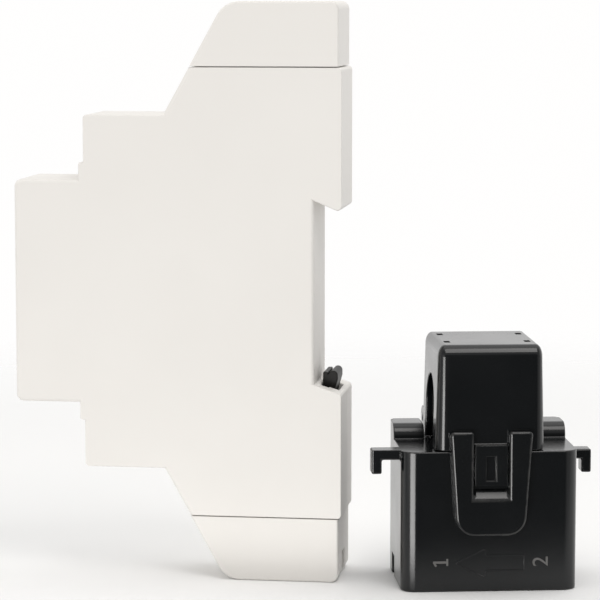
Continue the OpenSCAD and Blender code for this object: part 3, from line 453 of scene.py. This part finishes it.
# merged copy of a node, reshaped where it is asked, with its sharp edges rounded: widthAt gives the rounding
# at a point
def roundedMesh(node, widthAt, reshape=None):
    bm = bmesh.new()
    bm.from_mesh(nodes[node].data)
    bmesh.ops.remove_doubles(bm, verts=bm.verts, dist=rounding["weld"])
    bmesh.ops.dissolve_limit(bm, angle_limit=math.radians(rounding["flat"]), verts=bm.verts, edges=bm.edges)
    if reshape:
        reshape(bm)
    weight = bm.edges.layers.float.new("bevel_weight_edge")
    widths = {}
    for edge in bm.edges:
        if edge.is_manifold and edge.calc_face_angle() > math.radians(rounding["sharp"]):
            wanted = widthAt((edge.verts[0].co + edge.verts[1].co) / 2)
            widths[edge] = min([wanted] + [roomInFace(loop) for loop in edge.link_loops])
    evenOut(widths)
    widest = max(widths.values())
    for edge, width in widths.items():
        edge[weight] = width / widest
    mesh = bpy.data.meshes.new(node + "_rounded")
    bm.to_mesh(mesh)
    bm.free()
    holder = bpy.data.objects.new(node + "_rounding", mesh)
    bpy.context.scene.collection.objects.link(holder)
    mesh.materials.clear()
    for material in markMaterials:
        mesh.materials.append(material)
    mesh.polygons.foreach_set("material_index", [0] * len(mesh.polygons))
    mesh.polygons.foreach_set("use_smooth", [True] * len(mesh.polygons))
    bevel = holder.modifiers.new("rounding", "BEVEL")
    bevel.limit_method = "WEIGHT"
    bevel.width = widest
    bevel.segments = rounding["segments"]
    bevel.use_clamp_overlap = False
    bevel.material = edgeMarks.index("rounded")
    normals = holder.modifiers.new("flats", "WEIGHTED_NORMAL")
    normals.keep_sharp = True
    finished = bakedMesh(holder)
    edgeMark = finished.attributes.new("rounded", "FLOAT", "FACE")
    edgeMark.data.foreach_set("value", [float(face.material_index) for face in finished.polygons])
    finished.polygons.foreach_set("material_index", [0] * len(finished.polygons))
    return finished


def evenWidth(width):
    return lambda point: width


# meter case and covers: soft outer edges, fine ones along the parting line and the cover seams
caseEdges = dict(side=0.75 * mm, seam=0.12 * mm, rest=0.30 * mm)
coverEdges = dict(side=0.45 * mm, seam=0.12 * mm, rest=0.25 * mm)
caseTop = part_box("case_right")[1].z
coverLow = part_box("top_cover")[0].z
closeBy = 0.01 * mm


def onFlank(point):
    return abs(abs(point.y) - abs(meterSide)) < closeBy


def caseWidth(point):
    if min(abs(point.y), abs(abs(point.z) - caseTop)) < closeBy:
        return caseEdges["seam"]
    return caseEdges["side" if onFlank(point) else "rest"]


def coverWidth(point):
    if abs(abs(point.z) - coverLow) < closeBy:
        return coverEdges["seam"]
    return coverEdges["side" if onFlank(point) else "rest"]


# sensor jaw: the tongue in front of its face and the pits in its top have finer edges
jawEdges = dict(tongue=0.10 * mm, pit=0.05 * mm, rest=0.30 * mm)
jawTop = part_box("sensor_jaw")[1].z


def jawWidth(point):
    if jawTop - point.z < closeBy:
        return jawEdges["pit"]
    return jawEdges["tongue" if (toSensor @ point).y < baseFront else "rest"]


# the jaw's ends lean in towards its top, outside the room that holds the core
jawDraft = dict(lean=0.7 * mm, coreRoom=0.3 * mm)


def leanEnds(mesh):
    coreEnd = max(abs((toSensor @ vert.co).x) for vert in nodes["upper_core"].data.vertices)
    inner = coreEnd + jawDraft["coreRoom"]
    spots = [toSensor @ vert.co for vert in mesh.vertices]
    end = max(abs(spot.x) for spot in spots)
    low, high = (corner.z - sensorFoot.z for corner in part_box("sensor_jaw"))
    for vert, spot in zip(mesh.vertices, spots):
        outward = max(0.0, (abs(spot.x) - inner) / (end - inner))
        spot.x -= math.copysign(jawDraft["lean"] * outward * (spot.z - low) / (high - low), spot.x)
        vert.co = sensorPlace @ spot


# the pits in the jaw's top are longer from front to back than across
pits = dict(level=0.99, depth=(0.3 * mm, 1.5 * mm), reach=0.8 * mm, stretch=2.1)


def lengthenPits(bm):
    least, most = pits["depth"]
    levels = [face.calc_center_median() for face in bm.faces if face.normal.z > pits["level"]]
    floors = [toSensor @ middle for middle in levels if least < jawTop - middle.z < most]
    for vert in bm.verts:
        spot = toSensor @ vert.co
        for middle in floors:
            aside = spot - middle
            if max(abs(aside.x), abs(aside.y)) < pits["reach"] and aside.z > -closeBy:
                spot.y = middle.y + aside.y * pits["stretch"]
                vert.co = sensorPlace @ spot
                break


roundings = {
    "case_left": caseWidth,
    "case_right": caseWidth,
    "top_cover": coverWidth,
    "bottom_cover": coverWidth,
    "rail_clip": evenWidth(0.25 * mm),
    "front_panel": evenWidth(0.12 * mm),
    "light_guide": evenWidth(0.12 * mm),
    "push_button": evenWidth(0.25 * mm),
    "top_block": evenWidth(0.20 * mm),
    "bottom_block": evenWidth(0.20 * mm),
    "sensor_base": evenWidth(0.35 * mm),
    "sensor_jaw": jawWidth,
    "jaw_liner": evenWidth(0.20 * mm),
    "sensor_latch": evenWidth(0.55 * mm),
    "hinge_pin": evenWidth(0.15 * mm),
    "upper_core": evenWidth(0.20 * mm),
    "lower_core": evenWidth(0.20 * mm),
    "film_capacitor": evenWidth(0.40 * mm),
    "bulk_capacitors": evenWidth(0.35 * mm),
    "varistor": evenWidth(0.80 * mm),
    "fuse": evenWidth(0.50 * mm),
}
for end in ("top", "bottom"):
    for side in ("left", "right"):
        roundings[end + "_screw_" + side] = evenWidth(0.12 * mm)
        roundings[end + "_cage_" + side] = evenWidth(0.15 * mm)
for node, widthAt in roundings.items():
    if node == "sensor_jaw":
        mesh = roundedMesh(node, widthAt, lengthenPits)
        leanEnds(mesh)
    else:
        mesh = roundedMesh(node, widthAt)
    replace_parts(keepPiece(node + "_soft", mesh, node), node)
for node, part in nodes.items():
    if node not in roundings:
        part.data.materials.clear()
        part.data.materials.append(materials[slotOf[node]])
print("rounded shells:", len(roundings))


# raised lines on the sensor's face: a path swept by a round ridge

def buildRaisedLine():
    tree, given, result = newTree(
        "raisedLine", "GeometryNodeTree",
        [("Path", "NodeSocketGeometry", None), ("Ridge Radius", "NodeSocketFloat", 0.2 * mm),
         ("Corner Radius", "NodeSocketFloat", 0.3 * mm), ("Ridge Sides", "NodeSocketInt", 12),
         ("Finish", "NodeSocketMaterial", None)],
        [("Ridge", "NodeSocketGeometry")])
    link = tree.links.new
    path = addNode(tree, "GeometryNodeMeshToCurve")
    corners = addNode(tree, "GeometryNodeFilletCurve")
    ring = addNode(tree, "GeometryNodeCurvePrimitiveCircle")
    sweep = addNode(tree, "GeometryNodeCurveToMesh")
    real = addNode(tree, "GeometryNodeRealizeInstances")
    smooth = addNode(tree, "GeometryNodeSetShadeSmooth")
    finish = addNode(tree, "GeometryNodeSetMaterial")
    link(given.outputs["Path"], path.inputs["Mesh"])
    link(path.outputs["Curve"], corners.inputs["Curve"])
    link(given.outputs["Corner Radius"], corners.inputs["Radius"])
    link(given.outputs["Ridge Sides"], ring.inputs["Resolution"])
    link(given.outputs["Ridge Radius"], ring.inputs["Radius"])
    link(corners.outputs["Curve"], sweep.inputs["Curve"])
    link(ring.outputs["Curve"], sweep.inputs["Profile Curve"])
    link(sweep.outputs["Mesh"], smooth.inputs["Geometry"])
    link(smooth.outputs["Geometry"], real.inputs["Geometry"])
    link(real.outputs["Geometry"], finish.inputs["Geometry"])
    link(given.outputs["Finish"], finish.inputs["Material"])
    link(finish.outputs["Geometry"], result.inputs["Ridge"])
    return tree


def runTree(name, mesh, tree, values):
    holder = bpy.data.objects.new(name, mesh)
    bpy.context.scene.collection.objects.link(holder)
    modifier = holder.modifiers.new(name, "NODES")
    modifier.node_group = tree
    sockets = {item.name: item.identifier for item in tree.interface.items_tree if item.in_out == "INPUT"}
    for label, value in values.items():
        modifier[sockets[label]] = value
    return bakedMesh(holder)


arrow = dict(tip=-7.0 * mm, neck=-0.9 * mm, tail=6.8 * mm, headHalf=2.9 * mm, shaftHalf=1.5 * mm,
             height=5.7 * mm, ridge=0.17 * mm, corner=0.2 * mm)


def arrowPath():
    points = [
        (arrow["tip"], 0.0), (arrow["neck"], arrow["headHalf"]), (arrow["neck"], arrow["shaftHalf"]),
        (arrow["tail"], arrow["shaftHalf"]), (arrow["tail"], -arrow["shaftHalf"]),
        (arrow["neck"], -arrow["shaftHalf"]), (arrow["neck"], -arrow["headHalf"])]
    mesh = bpy.data.meshes.new("arrowPath")
    spots = [sensorPlace @ Vector((x, baseFront, arrow["height"] + z)) for x, z in points]
    mesh.from_pydata(spots, [(i, (i + 1) % len(spots)) for i in range(len(spots))], [])
    return mesh


arrowMesh = runTree("flowArrow", arrowPath(), buildRaisedLine(), {
    "Ridge Radius": arrow["ridge"], "Corner Radius": arrow["corner"], "Finish": materials["sensor_black"]})
keepPiece("flowArrow", arrowMesh, "sensor_base")

# plain numerals beside the arrow, printed and turned on their sides
numeral = dict(size=4.4 * mm, lift=0.05 * mm, height=5.9 * mm, oneAcross=-9.8 * mm, twoAcross=10.2 * mm)
quarterTurn = math.radians(90)
numeralStand = Matrix.Rotation(quarterTurn, 4, "X") @ Matrix.Rotation(quarterTurn, 4, "Z")
# outline of the 1, in shares of its size
oneOutline = [(-0.15, -0.345), (0.17, -0.345), (0.17, -0.255), (0.06, -0.255), (0.06, 0.345), (-0.03, 0.345),
              (-0.19, 0.235), (-0.14, 0.165), (-0.04, 0.235), (-0.04, -0.255), (-0.15, -0.255)]


# the font's own 1 has no foot and reads as a bar, so it is drawn
def numeralOne():
    curve = bpy.data.curves.new("numeral1", "CURVE")
    curve.dimensions = "2D"
    curve.fill_mode = "BOTH"
    line = curve.splines.new("POLY")
    line.points.add(len(oneOutline) - 1)
    for point, (x, y) in zip(line.points, oneOutline):
        point.co = (x * numeral["size"], y * numeral["size"], 0.0, 1.0)
    line.use_cyclic_u = True
    return curve


def numeralTwo():
    text = bpy.data.curves.new("numeral2", "FONT")
    text.body = "2"
    text.size = numeral["size"]
    text.align_x = "CENTER"
    text.align_y = "CENTER"
    return text


for name, curve, across in (("sideNumeral1", numeralOne(), numeral["oneAcross"]),
                            ("sideNumeral2", numeralTwo(), numeral["twoAcross"])):
    curve.extrude = numeral["lift"]
    holder = bpy.data.objects.new(name, curve)
    bpy.context.scene.collection.objects.link(holder)
    mesh = bakedMesh(holder)
    mesh.transform(sensorPlace @ Matrix.Translation((across, baseFront, numeral["height"])) @ numeralStand)
    keepPiece(name, mesh, "sensor_base", finish="print_grey")
print("sensor markings done")


# camera at the photograph's place: nearly square on the meter's flank, a little behind and above it
view = dict(azimuth=8.0, height=60.0 * mm, distance=545.0 * mm, target=(-4.0 * mm, 0.0, -2.0 * mm),
            lens=163.0, sensorWidth=36.0, clip=(0.01, 20.0))


def addCamera():
    data = bpy.data.cameras.new("photoCamera")
    data.lens = view["lens"]
    data.sensor_width = view["sensorWidth"]
    data.clip_start, data.clip_end = view["clip"]
    camera = bpy.data.objects.new("photoCamera", data)
    bpy.context.scene.collection.objects.link(camera)
    target = Vector(view["target"])
    turn = math.radians(view["azimuth"])
    reach = Vector((math.sin(turn), -math.cos(turn), 0.0)) * view["distance"]
    camera.location = Vector((target.x + reach.x, target.y + reach.y, view["height"]))
    camera.rotation_euler = (target - camera.location).to_track_quat("-Z", "Y").to_euler()
    bpy.context.scene.camera = camera


# pale floor, centred behind the set, that fades into the white round it, and soonest in front
floor = dict(centre=(0.0, 0.06), solid=0.10, reach=0.36, rim=0.98, front=(-0.065, -0.012), drop=0.02 * mm,
             sides=64, colour=(0.95, 0.95, 0.945), rough=0.9, specular=0.1)


def addFloor():
    mesh = bpy.data.meshes.new("paperFloor")
    level = cadBox[0].z - floor["drop"]
    centre = Vector((*floor["centre"], level))
    ring = [2 * math.pi * i / floor["sides"] for i in range(floor["sides"])]
    spots = [centre + floor["reach"] * Vector((math.cos(turn), math.sin(turn), 0.0)) for turn in ring]
    mesh.from_pydata(spots, [], [tuple(range(floor["sides"]))])
    material, tree, shader = newMaterial("paper_white")
    link = tree.links.new
    shader.inputs["Base Color"].default_value = (*floor["colour"], 1.0)
    shader.inputs["Roughness"].default_value = floor["rough"]
    shader.inputs["Specular IOR Level"].default_value = floor["specular"]
    place = addNode(tree, "ShaderNodeTexCoord")
    away = addNode(tree, "ShaderNodeVectorMath", {1: centre}, operation="DISTANCE")
    fade = addNode(tree, "ShaderNodeMapRange", {"From Min": floor["solid"], "To Min": 1.0,
                                                "From Max": floor["reach"] * floor["rim"], "To Max": 0.0},
                   interpolation_type="SMOOTHSTEP")
    parts = addNode(tree, "ShaderNodeSeparateXYZ")
    near = addNode(tree, "ShaderNodeMapRange", {"From Min": floor["front"][0], "From Max": floor["front"][1]},
                   interpolation_type="SMOOTHSTEP")
    cover = addNode(tree, "ShaderNodeMath", operation="MULTIPLY")
    link(place.outputs["Object"], away.inputs[0])
    link(place.outputs["Object"], parts.inputs["Vector"])
    link(away.outputs["Value"], fade.inputs["Value"])
    link(parts.outputs["Y"], near.inputs["Value"])
    link(fade.outputs["Result"], cover.inputs[0])
    link(near.outputs["Result"], cover.inputs[1])
    link(cover.outputs["Value"], shader.inputs["Alpha"])
    mesh.materials.append(material)
    paper = bpy.data.objects.new("paperFloor", mesh)
    bpy.context.scene.collection.objects.link(paper)


# soft studio light, in metres and watts: a broad key and a low strip at the front left, a large box overhead,
# and a small one before it for the sensor's upper edges
lamps = {
    "keyBox": dict(place=(-0.75, -1.05, -0.03), size=(1.10, 0.50), power=1.0, colour=(1.0, 0.992, 0.98)),
    "lowStrip": dict(place=(-0.32, -1.24, -0.28), size=(0.85, 0.26), power=6.7, colour=(1.0, 0.992, 0.98)),
    "topBox": dict(place=(0.02, -0.05, 0.85), size=(1.00, 0.80), power=1.6, colour=(1.0, 0.985, 0.97)),
    "edgeBox": dict(place=(0.28, -0.46, 0.76), size=(0.36, 0.50), power=2.0, colour=(1.0, 0.98, 0.96)),
}
# room that is white behind and greyer in front, with a dark flag where the sensor's front mirrors it
room = dict(colour=(1.0, 0.995, 0.99), front=0.5, behind=1.0, turn=(-0.35, 0.45), flag=0.2,
            flagSpread=(32.0, 12.0))


def addLights():
    for name, lamp in lamps.items():
        data = bpy.data.lights.new(name, "AREA")
        data.shape = "RECTANGLE"
        data.size, data.size_y = lamp["size"]
        data.energy = lamp["power"]
        data.color = lamp["colour"]
        light = bpy.data.objects.new(name, data)
        light.location = lamp["place"]
        light.rotation_euler = (-Vector(lamp["place"])).to_track_quat("-Z", "Y").to_euler()
        bpy.context.scene.collection.objects.link(light)


def addRoom():
    world = bpy.data.worlds.new("studioRoom")
    bpy.context.scene.world = world
    world.use_nodes = True
    tree = world.node_tree
    link = tree.links.new
    glow = tree.nodes["Background"]
    glow.inputs["Color"].default_value = (*room["colour"], 1.0)
    way = addNode(tree, "ShaderNodeTexCoord")
    parts = addNode(tree, "ShaderNodeSeparateXYZ")
    rise = addNode(tree, "ShaderNodeMapRange", {"From Min": room["turn"][0], "From Max": room["turn"][1],
                                                "To Min": room["front"], "To Max": room["behind"]},
                   interpolation_type="SMOOTHSTEP")
    toCamera = (bpy.context.scene.camera.location - sensorFoot).normalized()
    sensorFront = sensorPlace.to_3x3() @ Vector((0.0, -1.0, 0.0))
    mirrored = 2 * toCamera.dot(sensorFront) * sensorFront - toCamera
    near = addNode(tree, "ShaderNodeVectorMath", {1: mirrored}, operation="DOT_PRODUCT")
    outer, inner = (math.cos(math.radians(spread)) for spread in room["flagSpread"])
    flag = addNode(tree, "ShaderNodeMapRange", {"From Min": outer, "From Max": inner, "To Min": 1.0,
                                                "To Max": room["flag"]}, interpolation_type="SMOOTHSTEP")
    strength = addNode(tree, "ShaderNodeMath", operation="MULTIPLY")
    link(way.outputs["Generated"], parts.inputs["Vector"])
    link(way.outputs["Generated"], near.inputs[0])
    link(parts.outputs["Y"], rise.inputs["Value"])
    link(near.outputs["Value"], flag.inputs["Value"])
    link(rise.outputs["Result"], strength.inputs[0])
    link(flag.outputs["Result"], strength.inputs[1])
    link(strength.outputs["Value"], glow.inputs["Strength"])


addCamera()
addFloor()
addLights()
addRoom()
bpy.context.scene.view_settings.view_transform = "Standard"
print("camera, floor and lights set")
